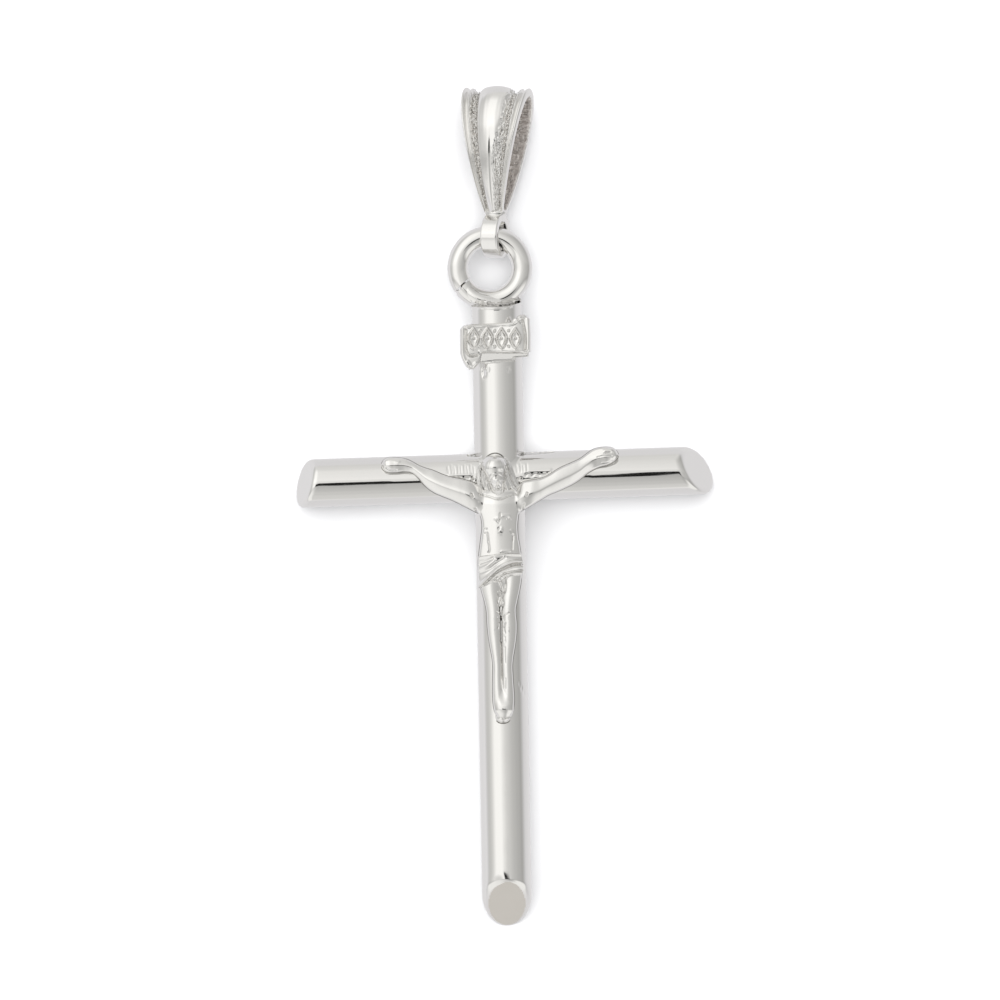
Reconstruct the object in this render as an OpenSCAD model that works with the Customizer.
// Crucifix pendant lying on its back: two round bars with slanted ends and a split ring,
// a cast figure, a curled title scroll and a fluted bail that hangs in the ring.
// X runs along the crossbar, Y up the upright to the bail, Z out of the front.

/* [Upright] */
// Diameter of the upright bar
upright_d = 3.3; // [2.6:0.1:4.5]
// From the crossing down to the tip of the foot
upright_below = 30.1; // [26:0.1:40]
// From the crossing up to the middle of the slanted top
upright_above = 11.8; // [10.5:0.1:16]
// Angle between the foot's cut face and the bar
foot_angle = 45; // [35:1:75]
// How much of the foot's thin tip is worn away
foot_blunt = 0.4; // [0:0.05:0.8]
// Lean of the top's cut face towards the front
top_lean = 13; // [0:1:25]

/* [Crossbar] */
// Diameter of the crossbar
bar_d = 3.2; // [2.4:0.1:4.2]
// Reach of the left arm from the crossing
arm_left = 13.7; // [11:0.1:20]
// Reach of the right arm from the crossing
arm_right = 14.4; // [11:0.1:20]
// How far the crossbar is soldered off square
bar_tilt = 0.9; // [0:0.1:3]
// Lean of the left arm's cut face towards the front
left_lean = 19; // [0:1:40]
// Turn of the left arm's cut face towards the top
left_skew = 12; // [0:1:30]
// Lean of the right arm's cut face towards the front
right_lean = 30; // [0:1:40]
// Turn of the right arm's cut face towards the top
right_skew = 20; // [0:1:30]

/* [Split ring] */
// Wire diameter of the ring
ring_wire = 1.25; // [0.9:0.05:1.6]
// Inner diameter of the ring
ring_inner = 3.15; // [2.8:0.05:5]
// How deep the ring is sunk in the top of the upright
ring_sink = 0.7; // [0.4:0.05:1.1]
// How far the ring sits to the left of the upright's axis
ring_left = 0.4; // [0:0.05:0.8]
// Height of the ring's plane in front of the upright's axis
ring_front = 0.1; // [0:0.05:0.4]
// Width of the slit where the ring was closed
ring_slit = 0.1; // [0.05:0.01:0.3]
// Angle of the slit, counted from the right
slit_angle = 211; // [190:1:235]

/* [Figure] */
// Height of the figure from the crown of the head to the toes
figure_h = 18; // [15:0.1:22]
// Height of the crown of the head above the crossbar's axis
crown_rise = 1.6; // [1.2:0.1:2.4]
// Reach from finger tip to finger tip
figure_span = 15.8; // [13:0.1:20]
// Breadth of the shoulders
shoulder_w = 3.5; // [2.8:0.1:4.2]
// How far the chest stands in front of the upright
chest_proud = 1.15; // [0.8:0.05:1.8]
// Rise of the hands above the shoulders
arm_rise = 2.3; // [1.6:0.1:3]
// Thickness of the upper arm
arm_w = 1.3; // [0.9:0.05:1.6]
// Width of both legs together at the knees
knees_w = 1.9; // [1.5:0.05:2.4]
// Breadth of the head with its hair
head_w = 2.0; // [1.6:0.05:2.5]
// How far the head leans to the left of the upright's axis
head_left = 0.25; // [0:0.05:0.5]

/* [Title scroll] */
// Width of the scroll
scroll_w = 4.7; // [4:0.1:6]
// Height of the scroll's flat middle
scroll_h = 2.05; // [1.6:0.05:2.6]
// Thickness of the scroll
scroll_t = 0.45; // [0.3:0.05:0.7]
// Middle of the scroll below the middle of the upright's top
scroll_drop = 2.6; // [2.2:0.05:4]
// How far the scroll's face stands in front of the upright
scroll_proud = 0.5; // [0.3:0.05:0.9]
// Height of the relief on the scroll
relief_h = 0.18; // [0.1:0.01:0.3]

/* [Bail] */
// Length of the leaf from the collar to the top
leaf_len = 8.4; // [7:0.05:11]
// Width of the leaf at the top
leaf_w = 4.65; // [3.6:0.05:6]
// Depth of the teardrop from front to back
leaf_depth = 3.75; // [3.2:0.05:5]
// Thickness of the leaf at the middle rib
leaf_t = 0.62; // [0.4:0.02:0.9]
// Width of the strip that makes the lower loop and the collar
strip_w = 1.15; // [0.8:0.05:1.4]
// Thickness of the strip
strip_t = 0.5; // [0.35:0.05:0.7]
// Free room between the ring's wire and the inside of the lower loop
loop_room = 0.34; // [0.3:0.02:0.5]
// How far the bail has rolled about its length
bail_roll = 19; // [0:1:24]
// How far the bail leans to the right
bail_lean = 2; // [0:0.5:8]

/* [Fit] */
// Seam between each casting and the bar that carries it
seam = 0.05; // [0.03:0.01:0.15]
// Clearance under the bail's back leaf
floor_gap = 0.03; // [0.02:0.01:0.2]

/* [Hidden] */

// Facets of a cutting bar, of a limb, of the trunk, of the head and of a small bead
cut_fn = 96;
limb_fn = 14;
trunk_fn = 24;
head_fn = 18;
bead_fn = 10;
// Stations along the leaf and round the lower loop
leaf_steps = 28;
loop_steps = 18;
// Block that takes away everything past a cut face
block = 30;

upright_r = upright_d / 2;
bar_r = bar_d / 2;
ring_r = (ring_inner + ring_wire) / 2;
ring_y = upright_above - ring_sink + ring_inner / 2 + ring_wire;
slit_turn = ring_slit / ring_r * 180 / PI;

// Inner radius of the bail's lower loop and its outer radius, where the leaf begins
loop_in = ring_wire / 2 + loop_room;
loop_out = loop_in + strip_t;
bail_len = loop_out + leaf_len;

// The ring's wire where the bail hangs, straight above the upright's axis
hang_y = ring_y + sqrt(ring_r * ring_r - ring_left * ring_left);

// Share of the leaf's length at which its back comes lowest, and how far the rim bead reaches
// behind the bail's axis there. The bail is pitched until that bead nears the floor.
deepest = 0.7;
rim_h = 0.72;
belly_back = (leaf_depth / 2 - leaf_t + rim_h * leaf_thick(deepest)) * cos(bail_roll)
    + leaf_half(deepest) * sin(bail_roll);
bail_pitch = asin((belly_back + floor_gap - upright_r - ring_front) / (loop_out + deepest * leaf_len));

// Middle of the whole pendant in the plane of the cross
top_y = hang_y + bail_len * cos(bail_pitch) * cos(bail_lean);
mid_x = (arm_right - arm_left) / 2;
mid_y = (top_y - upright_below) / 2;

// Height of the seat from which each casting stands forward of the axis
seat_z = upright_r * 0.45;

// Moves a piece from the crossing to the pendant's own frame, with the back of the upright at
// the height of the floor
module lay() {
    translate([-mid_x, -mid_y, upright_r]) children();
}

// Takes away what lies past a cut face. The face passes through the origin and its outward
// direction is X before it leans towards the front and turns towards the top.
module past_face(lean, skew) {
    rotate([0, -lean, skew]) translate([0, -block / 2, -block / 2]) cube(block);
}

// Distance from the middle of a slanted face to its furthest rim
function rim_reach(r, lean, skew) = r * norm([tan(lean) / cos(skew), tan(skew)]);

// Half of the crossbar to the right, cut at its end
module arm_bar(reach, lean, skew) {
    difference() {
        rotate([0, 90, 0]) cylinder(d = bar_d, h = reach + bar_d, $fn = cut_fn);
        translate([reach - rim_reach(bar_r, lean, skew), 0, 0]) past_face(lean, skew);
    }
}

module crossbar() {
    rotate([0, 0, bar_tilt]) {
        arm_bar(arm_right, right_lean, right_skew);
        mirror([1, 0, 0]) arm_bar(arm_left, left_lean, left_skew);
    }
}

module upright() {
    difference() {
        translate([0, -upright_below, 0]) rotate([-90, 0, 0])
            cylinder(d = upright_d, h = upright_below + upright_above + upright_d, $fn = cut_fn);
        translate([0, -upright_below - foot_blunt, -upright_r])
            rotate([foot_angle, 0, 0]) translate([-block / 2, -block / 2, 0]) cube(block);
        translate([0, upright_above, 0])
            rotate([top_lean - 90, 0, 0]) translate([-block / 2, -block / 2, 0]) cube(block);
    }
}

// Round wire ring, open at its slit
module split_ring() {
    translate([-ring_left, ring_y, ring_front])
        rotate([0, 0, slit_angle + slit_turn / 2])
            rotate_extrude(angle = 360 - slit_turn, $fn = cut_fn)
                translate([ring_r, 0]) circle(d = ring_wire, $fn = cut_fn);
}

module cross() {
    color("gainsboro") lay() union() {
        upright();
        crossbar();
        split_ring();
    }
}

// Both bars, larger by the seam, as the castings are hollowed to sit on them
module seat_bars() {
    rotate([90, 0, 0]) cylinder(d = upright_d + 2 * seam, h = 4 * figure_h, center = true, $fn = cut_fn);
    rotate([0, 0, bar_tilt]) rotate([0, 90, 0])
        cylinder(d = bar_d + 2 * seam, h = 4 * figure_span, center = true, $fn = cut_fn);
}

// Takes away a casting's back: the bars with their seam, and all behind the seat
module seated() {
    difference() {
        children();
        seat_bars();
        translate([-block, -block, seat_z - block]) cube([2 * block, 2 * block, block]);
    }
}

// Unit vector across a path at row i, in the plane of the cross
function across(rows, i) =
    let (a = rows[max(i - 1, 0)][0], b = rows[min(i + 1, len(rows) - 1)][0],
         d = [b.x - a.x, b.y - a.y])
    [d.y, -d.x, 0] / norm(d);

// Closed skin through a list of rows [middle, half width, half depth], each with a slope of its
// section as a fourth value where it has one
module loft(rows, n) {
    count = len(rows);
    points = [
        for (i = [0 : count - 1]) for (k = [0 : n - 1])
            let (slope = len(rows[i]) > 3 ? rows[i][3] : 0)
            rows[i][0] + (across(rows, i) + [0, slope, 0]) * rows[i][1] * cos(360 * k / n)
                + [0, 0, rows[i][2] * sin(360 * k / n)]
    ];
    sides = [
        for (i = [0 : count - 2]) for (k = [0 : n - 1])
            [i * n + k, i * n + (k + 1) % n, (i + 1) * n + (k + 1) % n, (i + 1) * n + k]
    ];
    ends = [
        [for (k = [0 : n - 1]) n - 1 - k],
        [for (k = [0 : n - 1]) (count - 1) * n + k]
    ];
    polyhedron(points = points, faces = concat(sides, ends), convexity = 4);
}

// Ellipsoid bead
module bead(at, size, facets = bead_fn) {
    translate(at) scale(size) sphere(d = 1, $fn = facets);
}

// Height in the plane of the cross at a share of the figure's height below the crown
function down(share) = crown_rise - share * figure_h;

// Arm from the shoulder to the finger tips: share of half the span, share of the rise, then
// width, depth and height of the middle as shares of the arm's thickness
ARM = [
    [0.10, 0.00, 0.60, 0.55, 0.35],
    [0.18, 0.02, 1.10, 0.90, 0.40],
    [0.31, 0.10, 1.08, 0.85, 0.42],
    [0.44, 0.28, 0.96, 0.75, 0.40],
    [0.55, 0.45, 0.94, 0.72, 0.36],
    [0.70, 0.72, 0.76, 0.60, 0.28],
    [0.81, 0.90, 0.58, 0.50, 0.22],
    [0.89, 0.99, 0.78, 0.42, 0.20],
    [0.96, 1.01, 0.60, 0.36, 0.18],
    [1.00, 1.00, 0.26, 0.20, 0.16]
];
shoulder_y = down(0.152);

module arm() {
    loft([for (r = ARM) [
        [r[0] * figure_span / 2, shoulder_y + r[1] * arm_rise, bar_r + r[4] * arm_w],
        r[2] * arm_w / 2,
        r[3] * arm_w / 2
    ]], limb_fn);
}

// Trunk from the neck to the hips: share of the height, width as a share of the shoulders,
// height of the front as a share of the chest's
TRUNK = [
    [0.110, 0.26, 0.50],
    [0.138, 0.48, 0.70],
    [0.158, 0.92, 0.86],
    [0.190, 0.93, 1.00],
    [0.235, 0.80, 1.02],
    [0.285, 0.74, 0.86],
    [0.340, 0.75, 0.80],
    [0.390, 0.78, 0.86],
    [0.440, 0.76, 0.90],
    [0.480, 0.62, 0.80]
];

module trunk() {
    loft([for (r = TRUNK) [
        [0, down(r[0]), seat_z],
        r[1] * shoulder_w / 2,
        upright_r - seat_z + r[2] * chest_proud
    ]], trunk_fn);
}

// One leg from the hip to the toes: share of the height, shift from the middle, width and height
// of the front as shares of the width over both knees
LEG = [
    [0.430, 0.31, 0.68, 0.50],
    [0.500, 0.30, 0.67, 0.56],
    [0.560, 0.25, 0.56, 0.60],
    [0.600, 0.22, 0.50, 0.64],
    [0.645, 0.24, 0.53, 0.72],
    [0.700, 0.19, 0.43, 0.56],
    [0.756, 0.15, 0.36, 0.44],
    [0.840, 0.14, 0.34, 0.36],
    [0.890, 0.15, 0.36, 0.42],
    [0.930, 0.17, 0.39, 0.56],
    [0.970, 0.13, 0.34, 0.44],
    [1.000, 0.07, 0.22, 0.28]
];

module leg() {
    loft([for (r = LEG) [
        [r[1] * knees_w, down(r[0]), seat_z],
        r[2] * knees_w / 2,
        upright_r - seat_z + r[3] * knees_w
    ]], limb_fn);
}

// Chest muscles and knee caps as low swellings: share of the figure's height, then side shift,
// width, length, depth and height of the middle as shares of the shoulders' breadth
SWELLS = [
    [0.186, 0.15, 0.58, 0.34, 0.14, 0.238],
    [0.645, 0.13, 0.16, 0.30, 0.16, 0.360]
];

module swells() {
    for (r = SWELLS, side = [-1, 1])
        bead([side * r[1] * shoulder_w, down(r[0]), upright_r + r[5] * shoulder_w],
             [r[2], r[3], r[4]] * shoulder_w, head_fn);
}

// Head bowed forward with its cap of hair: side shift, share of the figure's height, height above
// the upright, then width, length and depth, all but the second as shares of the head's breadth
HEAD = [
    [0.00, 0.068, 0.34, 0.82, 1.16, 1.05],
    [0.00, 0.052, 0.16, 1.00, 1.10, 0.95]
];
// Short beard from the chin to its tip, with the same columns
BEARD = [
    [0.02, 0.108, 0.44, 0.50, 0.44, 0.60],
    [0.05, 0.140, 0.34, 0.24, 0.28, 0.30]
];
// Long hair at both sides of the head: side shift, share of the figure's height, height above the
// upright and thickness
LOCKS = [
    [0.38, 0.052, 0.26, 0.30],
    [0.43, 0.078, 0.21, 0.34],
    [0.46, 0.108, 0.16, 0.31],
    [0.42, 0.142, 0.23, 0.25]
];

module head_bead(r) {
    bead([r[0] * head_w - head_left, down(r[1]), upright_r + r[2] * head_w],
         [r[3], r[4], r[5]] * head_w, head_fn);
}

module head() {
    for (r = HEAD) head_bead(r);
    hull() for (r = BEARD) head_bead(r);
    for (side = [-1, 1], i = [0 : len(LOCKS) - 2])
        hull() for (r = [LOCKS[i], LOCKS[i + 1]])
            bead([side * r[0] * head_w - head_left, down(r[1]), upright_r + r[2] * head_w],
                 [r[3], r[3] * 1.5, r[3]] * head_w);
}

// Loincloth: a wound band whose folds rise to the knot at the right hip. Share of the height,
// width as a share of the shoulders, height as a share of the chest's, and slope to the right
CLOTH = [
    [0.372, 0.76, 0.92, 0.06],
    [0.384, 0.84, 1.08, 0.08],
    [0.402, 0.83, 0.98, 0.12],
    [0.419, 0.87, 1.14, 0.17],
    [0.437, 0.85, 1.00, 0.22],
    [0.453, 0.87, 1.10, 0.27],
    [0.470, 0.84, 0.98, 0.32],
    [0.484, 0.82, 1.04, 0.36],
    [0.494, 0.68, 0.80, 0.38]
];

module loincloth() {
    loft([for (r = CLOTH) [
        [0, down(r[0]), seat_z],
        r[1] * shoulder_w / 2,
        upright_r - seat_z + r[2] * chest_proud,
        r[3]
    ]], trunk_fn);
    hull() {
        bead([0.38 * shoulder_w, down(0.395), upright_r], [0.16, 0.20, 0.30] * shoulder_w);
        bead([0.37 * shoulder_w, down(0.462), upright_r], [0.20, 0.16, 0.24] * shoulder_w);
    }
}

module corpus() {
    color("whitesmoke") lay() seated() {
        trunk();
        for (side = [0, 1]) mirror([side, 0, 0]) {
            rotate([0, 0, side == 0 ? bar_tilt : -bar_tilt]) arm();
            leg();
        }
        swells();
        head();
        loincloth();
    }
}

// Scroll from left to right: share of the width, top and bottom as shares of the height of the
// flat middle, and depth of the face behind the front of the scroll as a share of the thickness
SCROLL = [
    [-0.46, 0.22, -0.74, 0.60],
    [-0.41, 0.32, -0.90, 0.10],
    [-0.30, 0.36, -0.84, 0.00],
    [-0.23, 0.38, -0.42, 0.30],
    [-0.10, 0.39, -0.38, 0.15],
    [0.10, 0.40, -0.38, 0.15],
    [0.20, 0.42, -0.38, 0.30],
    [0.28, 0.58, -0.38, 0.00],
    [0.38, 0.66, -0.36, 0.10],
    [0.45, 0.48, -0.28, 0.60]
];
// Number of raised lozenges on the scroll
lozenges = 4;

module title_scroll() {
    face_z = upright_r + scroll_proud;
    middle_y = upright_above - scroll_drop;
    color("white") lay() seated() {
        for (i = [0 : len(SCROLL) - 2]) hull() for (r = [SCROLL[i], SCROLL[i + 1]], edge = [r[1], r[2]])
            translate([r[0] * scroll_w, middle_y + edge * scroll_h, face_z - (r[3] + 0.5) * scroll_t])
                sphere(d = scroll_t, $fn = bead_fn);
        // Root that carries the scroll on the bar
        translate([-scroll_w / 4, middle_y - scroll_h * 0.4, seat_z])
            cube([scroll_w / 2, scroll_h * 0.75, face_z - seat_z - scroll_t / 2]);
        for (i = [0 : lozenges - 1])
            translate([(i - (lozenges - 1) / 2) * scroll_w * 0.19, middle_y, face_z - 0.2 * scroll_t])
                scale([scroll_w * 0.10, scroll_h * 0.36, 1])
                    cylinder(r1 = 1, r2 = 0.35, h = relief_h + 0.2 * scroll_t, $fn = 4);
    }
}

// Teardrop in the bail's side view, as [along, forward]. It is round at the top, at turn 0, and
// comes to a point at the collar, at turn 180 or -180.
drop_power = 1.6;
drop_peak = sqrt(1 / (1 + drop_power)) * pow(drop_power / (1 + drop_power), drop_power / 2);
function drop(length, depth, turn) =
    let (c = cos(turn / 2))
    [length * c * c, depth / 2 / drop_peak * sin(turn / 2) * pow(c, drop_power)];

// Half width and thickness of the leaf at a share of its length above the collar
function leaf_half(share) = (strip_w + (leaf_w - strip_w) * pow(share, 0.9)) / 2;
function leaf_thick(share) = leaf_t * (0.6 + 0.4 * share);

// Flutes across the leaf: side as a share of the half width, height as a share of the thickness
FLUTES = [
    [-1.00, 0.00], [-1.00, 0.55], [-0.92, 0.80], [-0.83, 0.55], [-0.74, 0.82], [-0.62, 0.50],
    [-0.45, 0.85], [0.00, 1.00], [0.45, 0.85], [0.62, 0.50], [0.74, 0.82], [0.83, 0.55],
    [0.92, 0.80], [1.00, 0.55], [1.00, 0.00]
];

// Fluted leaf that runs up the front, over the top and down the back
module leaf() {
    // The turn at which each end of the leaf is inside the collar
    last_turn = 158;
    n = len(FLUTES);
    function inner(turn) = drop(leaf_len - leaf_t, leaf_depth - 2 * leaf_t, turn);
    points = [
        for (i = [0 : leaf_steps])
            let (turn = last_turn * (1 - 2 * i / leaf_steps),
                 p = inner(turn),
                 d = inner(turn - 1) - inner(turn + 1),
                 out = [d.y, -d.x] / -norm(d),
                 share = p.x / (leaf_len - leaf_t),
                 thick = leaf_thick(share),
                 half = leaf_half(share))
            for (f = FLUTES)
                [f[0] * half, loop_out + p.x + out.x * f[1] * thick, p.y + out.y * f[1] * thick]
    ];
    sides = [
        for (i = [0 : leaf_steps - 1]) for (k = [0 : n - 1])
            [i * n + k, (i + 1) * n + k, (i + 1) * n + (k + 1) % n, i * n + (k + 1) % n]
    ];
    ends = [
        [for (k = [0 : n - 1]) k],
        [for (k = [0 : n - 1]) (leaf_steps + 1) * n - 1 - k]
    ];
    polyhedron(points = points, faces = concat(sides, ends), convexity = 6);
}

// Strip with rounded edges, bent to the round lower loop
module lower_loop() {
    edge = strip_t * 0.6;
    module slat(turn) {
        rotate([turn, 0, 0]) translate([0, loop_in + strip_t / 2, 0])
            for (side = [-1, 1]) bead([side * (strip_w - edge) / 2, 0, 0], [edge, strip_t, edge / 4]);
    }
    for (i = [0 : loop_steps - 1]) hull() {
        slat(i * 360 / loop_steps);
        slat((i + 1) * 360 / loop_steps);
    }
}

// Short block that binds the two ends of the leaf to the lower loop
module collar() {
    hull() for (y = [-0.25, 0.3], side = [-1, 1])
        bead([side * strip_w * 0.32, loop_out + y * strip_t * 2, 0], [strip_w * 0.55, strip_t, strip_t * 2]);
}

module bail() {
    color("lightgray") lay() translate([0, hang_y, ring_front])
        rotate([0, 0, -bail_lean]) rotate([bail_pitch, 0, 0]) rotate([0, -bail_roll, 0]) union() {
            leaf();
            collar();
            lower_loop();
        }
}

cross();
corpus();
title_scroll();
bail();
